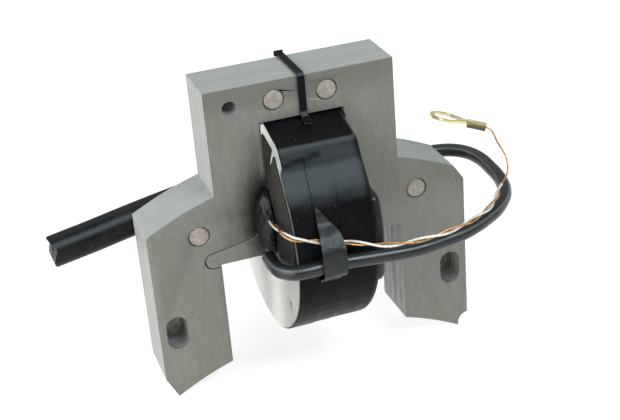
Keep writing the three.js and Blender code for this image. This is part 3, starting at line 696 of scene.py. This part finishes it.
# ---------------------------------------------------------------- laminations and rivets
def add_laminations():
    """Each pack becomes four sheets, each a hair out of line with the next."""
    thickness = 0.47
    edge_round = 0.03
    for pack in range(1, PACKS + 1):
        node = f"lamination_pack_{pack}"
        low, high = node_box(node)
        start = FRONT_FACE + (pack - 1) * SHEETS_IN_PACK * SHEET_PITCH
        copies = []
        for sheet in range(SHEETS_IN_PACK):
            piece = copy_of_node(node, f"sheets_{pack}")
            seed = 10.0 * pack + sheet
            lift = Vector((0.025 * math.sin(seed * 2.3), 0, 0.02 * math.sin(seed * 3.7)))
            varnish = SHEET_PITCH - thickness if pack + sheet > 1 else 0.0
            front = start + sheet * SHEET_PITCH + varnish
            for corner in piece.data.vertices:
                depth = 0.0 if corner.co.y / MM < (low.y + high.y) / 2 else thickness
                corner.co.y = (front + depth) * MM
            move_corners(piece, lambda place: lift)
            copies.append(piece)
        deselect_all()
        for piece in copies:
            piece.select_set(True)
        bpy.context.view_layer.objects.active = copies[0]
        bpy.ops.object.join()
        piece = bpy.context.object
        bpy.ops.object.mode_set(mode="EDIT")
        bpy.ops.mesh.select_mode(type="EDGE")
        bpy.ops.mesh.select_all(action="DESELECT")
        bpy.ops.mesh.edges_select_sharp(sharpness=math.radians(60))
        bpy.ops.mesh.bevel(offset=edge_round * MM, segments=1, affect="EDGES")
        bpy.ops.object.mode_set(mode="OBJECT")
        finish_piece(piece, STEEL, "lamination_steel", node, angle=30)


def add_rivets():
    """Flat heads sunk a hair below the faces, with a faint pressed ring and middle mark."""
    for name in ("rivet_head_left", "rivet_head_right", "rivet_shoulder_left", "rivet_shoulder_right"):
        low, high = node_box(name)
        middle = (low + high) / 2
        radius = (high.x - low.x) / 2
        face = [(0.0, -0.06), (0.35, -0.05), (0.5, 0.0), (1.7, 0.02), (1.85, -0.04), (2.0, 0.0),
                (radius - 0.35, -0.02), (radius - 0.1, 0.1), (radius, 0.4)]
        half = high.y - 0.02
        profile = [(r, -half + y) for r, y in face] + [(r, half - y) for r, y in reversed(face)]

        def place(u, v):
            r, y = along_profile(profile, v)
            return (middle.x + r * math.cos(2 * math.pi * u), middle.y + y,
                    middle.z + r * math.sin(2 * math.pi * u))
        finish_piece(shaped_grid(name + "_peened", 48, 60, place), RIVET, "rivet_steel", name, angle=50)


# ---------------------------------------------------------------- coil body
FLANK = math.radians(45)
TAPE_END = math.radians(129.0)   # where the last turn of tape ends, up the front from the back
CORNER = (18.0, 27.3)            # flank corner, across and above the coil's axis
FLAT = (7.0, 30.1)


def outline_radius(angle, inset=0.0):
    """Distance from the coil's axis to its outline; angle is from +Y, rising towards +Z."""
    direction = Vector((math.cos(angle), math.sin(angle)))
    direction.x = abs(direction.x)
    if direction.y < math.sin(FLANK):
        return COIL_RADIUS - inset
    points = [Vector((math.cos(FLANK), math.sin(FLANK))) * (COIL_RADIUS - inset),
              Vector((CORNER[0] - inset / 2, CORNER[1] - inset)), Vector((FLAT[0], FLAT[1] - inset)),
              Vector((-FLAT[0], FLAT[1] - inset))]
    for a, b in zip(points, points[1:]):
        run = b - a
        scale = direction.x * run.y - direction.y * run.x
        share = (a.x * direction.y - a.y * direction.x) / scale
        if -1e-9 <= share <= 1 + 1e-9:
            return (a + run * share).length
    return points[1].length


def eased(reach, angle, spread):
    """A distance averaged over a spread of angles, which rounds an outline's corners."""
    return sum(reach(angle + k * spread) for k in (-1, -0.5, 0, 0.5, 1)) / 5


def soft_outline(angle, inset=0.0):
    """The outline with its corners eased."""
    return eased(lambda a: outline_radius(a, inset), angle, math.radians(1.6))


def round_part(angle):
    """1 on the round part of the outline, 0 along the flat flanks and the top."""
    return 1 - step(math.sin(angle), math.sin(FLANK) + 0.03, 0.05)


def tape_drop(x, angle):
    """How far the tape lies below the full outline: seams, the tape's end and stretch ripples."""
    along = COIL_RADIUS * angle
    seam = -4.3 - 0.9 * step(math.sin(angle), 0.2, 1.4) + 0.12 * ripple(Vector((0, along, 3)), 3.0)
    drop = 0.13 * step(x, seam, 0.16)
    drop += 0.09 * step(x, 1.3 + 0.9 * math.sin(angle), 0.14)
    past_end = step(angle, TAPE_END - 0.004 * x, 0.01) * (1 - step(angle, TAPE_END + 0.3, 0.25))
    drop += 0.13 * past_end * (1 - step(x, 0.2, 0.8))
    drop += 0.08 * (1 + ripple(Vector((0.6 * x, along, 0)), 8.0, 3.0))
    drop += 0.03 * (1 + ripple(Vector((0.3 * x, along, 0)), 2.2, 5.0))
    return drop


def wrap_left_edge(angle):
    """The tape reaches over the flange's rim, but not along the flat flanks and the top."""
    wander = 0.16 * ripple(Vector((0, COIL_RADIUS * angle, 9)), 4.0)
    return WRAP_LOW.x + 0.08 - round_part(angle) * (FLANGE_HIGH.x - FLANGE_LOW.x - 0.12 + wander)


def add_outer_wrap():
    """Closed ring of tape over the winding, with a lip over the left flange's rim."""
    left, right = WRAP_LOW.x, WRAP_HIGH.x
    taper, drop, wall = 2.4, 2.5, 3.0
    lip = left - (FLANGE_HIGH.x - FLANGE_LOW.x)
    loop = [(left + 0.08, wall), (left + 0.08, 0.7), (lip, 0.7), (lip, 0.2), (lip + 0.08, 0.0)]
    loop += [(right - taper + taper * math.sin(a), drop * (1 - math.cos(a)))
             for a in (math.radians(9 * i) for i in range(11))]
    loop += [(right, wall), (left + 0.08, wall)]
    rows = profile_rows(loop, 0.6)

    def place(u, v):
        angle = -math.pi / 2 + 2 * math.pi * u
        x, inset = rows[round(v * (len(rows) - 1))]
        x += (wrap_left_edge(angle) - lip) * (1 - min((x - lip) / 2, 1))
        radius = soft_outline(angle, inset)
        if inset < wall - 0.4:
            radius -= tape_drop(x, angle if angle > 0 else angle + 2 * math.pi)
        return x, radius * math.cos(angle), COIL_AXIS_Z + radius * math.sin(angle)
    wrap = shaped_grid("outer_wrap_tape", 300, len(rows) - 1, place)
    finish_piece(wrap, TAPE, "black_tape", "outer_wrap", angle=60)


def left_rim(angle):
    """The left flange stands proud along the flanks; elsewhere the tape covers its rim."""
    return 0.5 * round_part(angle)


def right_rim(angle):
    """The right flange lies inside the outline all round."""
    return 3.15


def board_lift(y, z):
    """How far the bent lower front of the left flange stands off its flat face, in millimetres."""
    past_crease = step(-y - 9.0 - 0.42 * (COIL_AXIS_Z - 10.0 - z), 2.5, 5.0) * step(38.0 - z, 1.5, 3.0)
    lip = math.exp(-((y + 21.6 + 0.5 * (z - 27)) ** 2 / 2.2 + (z - 28.2) ** 2 / 7.0))
    dent = math.exp(-((y + 19.4) ** 2 / 1.3 + (z - 26.6) ** 2 / 2.4))
    return -0.28 * past_crease + 0.35 * lip - 0.7 * dent + 0.05 * ripple(Vector((0, y, z)), 6.0)


def add_flange(name, node, side, rim_inset):
    """Fibre disc with an eased rim and a rectangular middle hole."""
    low, high = node_box(node)
    tube_low, tube_high = node_box("bobbin_tube")
    hole = (tube_high.y + 0.15, (tube_high.z - tube_low.z) / 2 + 0.15)
    outer, inner = (low.x, high.x) if side < 0 else (high.x, low.x)

    def hole_radius(angle):
        return min(hole[0] / max(abs(math.cos(angle)), 1e-6), hole[1] / max(abs(math.sin(angle)), 1e-6))

    def place(u, v):
        angle = 2 * math.pi * u
        start, end = hole_radius(angle), soft_outline(angle, rim_inset(angle))
        loop = [(outer, start), (outer, end - 0.12), (outer - side * 0.1, end), (inner, end),
                (inner, start), (outer, start)]
        x, radius = along_profile(loop, v)
        y, z = radius * math.cos(angle), COIL_AXIS_Z + radius * math.sin(angle)
        if side < 0 and abs(x - outer) < 0.05:
            x = outer + 0.35 - min(board_lift(y, z) + 0.3, 0.35)
        return x, y, z
    finish_piece(shaped_grid(name, 220, 90, place), FIBRE, "fibre", node, angle=40)


def add_inner_pieces():
    """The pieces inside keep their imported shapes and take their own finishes."""
    finishes = {"bobbin_tube": BOBBIN, "primary_winding": TURNS, "secondary_winding": TURNS,
                "layer_insulation": PAPER}
    for node, material in finishes.items():
        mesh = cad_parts[node].data
        mesh.materials.clear()
        mesh.materials.append(material)


def lumpy_copy(node, name, voxel, wobble, scale, seed):
    """A copy of a node remeshed fine and pushed about by noise."""
    piece = copy_of_node(node, name)
    apply_modifier(piece, "REMESH", mode="VOXEL", voxel_size=voxel * MM)
    apply_modifier(piece, "SMOOTH", factor=0.5, iterations=4)
    move_corners(piece, lambda place: Vector((
        ripple(place, scale, seed), ripple(place, scale, seed + 4), ripple(place, scale, seed + 8))) * wobble)
    return piece


def add_boss():
    """The lump under tape on the coil's right end, its front running on from the winding."""
    low, high = node_box("terminal_boss")
    middle = Vector(((low.y + high.y) / 2, (low.z + high.z) / 2 - COIL_AXIS_Z))
    half_height = (high.z - low.z) / 2
    inner, full = COIL_HALF_WIDTH - 3.0, high.x - 0.2
    front = COIL_RADIUS - 1.3
    rounding = 1.5
    rough_radius = 12.0

    def reach(angle, inset):
        """From the boss's middle to its outline."""
        ray = Vector((math.cos(angle), math.sin(angle)))
        along = middle.dot(ray)
        walls = [(half_height - inset) / max(abs(ray.y), 1e-6),
                 math.sqrt(along ** 2 - middle.length_squared + (front - inset) ** 2) - along]
        if ray.x > 0:
            walls.append((high.y - middle.x) / ray.x)
        return min(walls)

    loop = [(inner, 0.0, 0.0), (inner, rough_radius, 0.0)]
    loop += [(full - rounding + rounding * math.sin(a), rough_radius, rounding * (1 - math.cos(a)))
             for a in (math.radians(15 * i) for i in range(7))]
    loop += [(full, 0.0, rounding)]
    rows = profile_rows(loop, 0.8)

    def place(u, v):
        angle = 2 * math.pi * u
        x, spread, inset = rows[round(v * (len(rows) - 1))]
        radius = eased(lambda a: reach(a, inset), angle, 0.08)
        radius -= 0.2 * (1 + ripple(Vector((x, 9 * math.cos(angle), 9 * math.sin(angle))), 4.0, 2.0))
        radius *= spread / rough_radius
        return (x, middle.x + radius * math.cos(angle),
                COIL_AXIS_Z + middle.y + radius * math.sin(angle))
    boss = shaped_grid("terminal_boss_taped", 120, len(rows) - 1, place)
    finish_piece(boss, STRAP_TAPE, "potting_resin", "terminal_boss", angle=60)


def add_end_pieces():
    """The patch, the resin lump, the boss and the collar; the collar is handed back."""
    cover = lumpy_copy("cover_tape", "cover_tape_patch", 0.2, 0.1, 3.0, 2.0)
    # Its upper back corner is drawn forward, clear of the stack.
    corner_y, corner_z, drawn = -9.6, COIL_AXIS_Z + 16.5, 1.3
    move_corners(cover, lambda place: Vector((0, -drawn, 0)) * (
        step(place.y, corner_y, 1.2) * step(place.z, corner_z, 2.0)))
    finish_piece(cover, COVER_TAPE, "black_tape", "cover_tape", angle=60)
    lump = lumpy_copy("potting_lump", "potting_lump_resin", 0.25, 0.4, 2.0, 7.0)
    finish_piece(lump, RESIN, "potting_resin", "potting_lump", angle=70)
    add_boss()
    collar = copy_of_node("high_tension_outlet", "high_tension_collar")
    apply_modifier(collar, "BEVEL", width=0.4 * MM, segments=3, limit_method="ANGLE")
    finish_piece(collar, RESIN, "potting_resin", "high_tension_outlet", angle=40)
    return collar


def add_strap():
    """A band of tape with a pointed upper end, drawn down over the leads and tucked under them."""
    # Angle above level, distance from the coil's axis, left edge and right edge.
    run = [(27.0, 30.5, -4.8, -4.5), (24.5, 30.62, -4.95, -3.6), (21.4, 30.75, -5.05, -2.6),
           (18.0, 31.2, -5.2, -1.4), (15.5, 32.1, -5.35, -0.5), (12.7, 33.2, -5.6, 0.0),
           (10.0, 34.1, -5.85, 0.2), (7.0, 34.9, -6.05, 0.25), (3.0, 35.2, -6.15, 0.15),
           (-0.6, 35.25, -6.1, 0.05), (-3.6, 34.7, -6.0, 0.0), (-6.0, 33.2, -5.9, 0.0),
           (-8.0, 31.6, -5.8, -0.1), (-10.5, 30.65, -5.7, -0.2)]
    path = smooth_path([(a, r, 0) for a, r, _, _ in run], 6)
    edges = smooth_path([(a, left, right) for a, _, left, right in run], 6)
    thickness = 0.35

    def place(u, v):
        spot = v * (len(path) - 1)
        first = min(int(spot), len(path) - 2)
        here = path[first].lerp(path[first + 1], spot - first)
        sides = edges[first].lerp(edges[first + 1], spot - first)
        x, lift = along_profile([(0.0, 0.0), (0.0, thickness), (1.0, thickness), (1.0, 0.0), (0.0, 0.0)], u)
        crumple = 0.18 * ripple(Vector((5 * x, here.x * 0.55, 0)), 2.2, 4.0) * step(here.y, 31.2, 1.0)
        radius = here.y + lift + crumple
        angle = math.radians(here.x)
        x = sides.y + (sides.z - sides.y) * x
        return x, -radius * math.cos(angle), COIL_AXIS_Z + radius * math.sin(angle)
    strap = shaped_grid("lead_strap_tape", 48, 80, place)
    close_ends(strap)
    return finish_piece(strap, STRAP_TAPE, "black_tape", "lead_strap", angle=60)


def add_tie():
    """The thin band over the head, softened."""
    tie = copy_of_node("tie_strip", "tie_strip_band")
    apply_modifier(tie, "REMESH", mode="VOXEL", voxel_size=0.15 * MM)
    apply_modifier(tie, "SMOOTH", factor=0.5, iterations=6)
    finish_piece(tie, TAPE, "black_tape", "tie_strip", angle=60)


# ---------------------------------------------------------------- leads and terminal
def add_terminal():
    """The stamped ring and its barrel, with their edges broken."""
    ring = copy_of_node("ring_terminal", "ring_terminal_stamping")
    apply_modifier(ring, "BEVEL", width=0.12 * MM, segments=2, limit_method="ANGLE")
    return finish_piece(ring, BRASS, "brass", "ring_terminal", angle=40)


def add_leads():
    """The two cables and the earth pair."""
    lead = smooth_path(PRIMARY_LEAD_ROUTE, 8)
    piece = cord_curve("primary_lead_wire", lead, LEAD_RADIUS, COVERING)
    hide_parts("primary_lead")
    high = smooth_path(HIGH_TENSION_ROUTE, 8)
    piece = cut_cable("high_tension_cable", high, HIGH_TENSION_RADIUS)
    finish_piece(piece, CABLE, "lead_insulation", "high_tension_lead", angle=50)
    tinned = twisted_wire(0.0)
    piece = cord_curve("tinned_wire_strand", tinned, TINNED_RADIUS, TINNED)
    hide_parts("tinned_wire")
    copper = twisted_wire(math.pi)
    copper += smooth_path([copper[-1], *COPPER_TAIL], 8)[1:]
    piece = cord_curve("copper_wire_strand", copper, COPPER_RADIUS, COPPER)
    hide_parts("copper_wire")


def add_floor():
    """Pale sweep under the leg tips."""
    deselect_all()
    bpy.ops.mesh.primitive_plane_add(size=6)
    floor = bpy.context.object
    floor.name = "floor"
    material, _, _, surface = new_material("floor_paper", 0.9)
    surface.inputs["Base Color"].default_value = (0.45, 0.45, 0.45, 1)
    surface.inputs["Emission Color"].default_value = (1, 1, 1, 1)
    surface.inputs["Emission Strength"].default_value = 0.72
    floor.data.materials.append(material)


add_camera()
add_studio()
add_laminations()
add_rivets()
add_outer_wrap()
add_flange("flange_left_board", "flange_left", -1, left_rim)
add_flange("flange_right_board", "flange_right", 1, right_rim)
add_inner_pieces()
collar_piece = add_end_pieces()
strap_piece = add_strap()
add_tie()
ring_piece = add_terminal()
add_leads()
add_floor()
deselect_all()
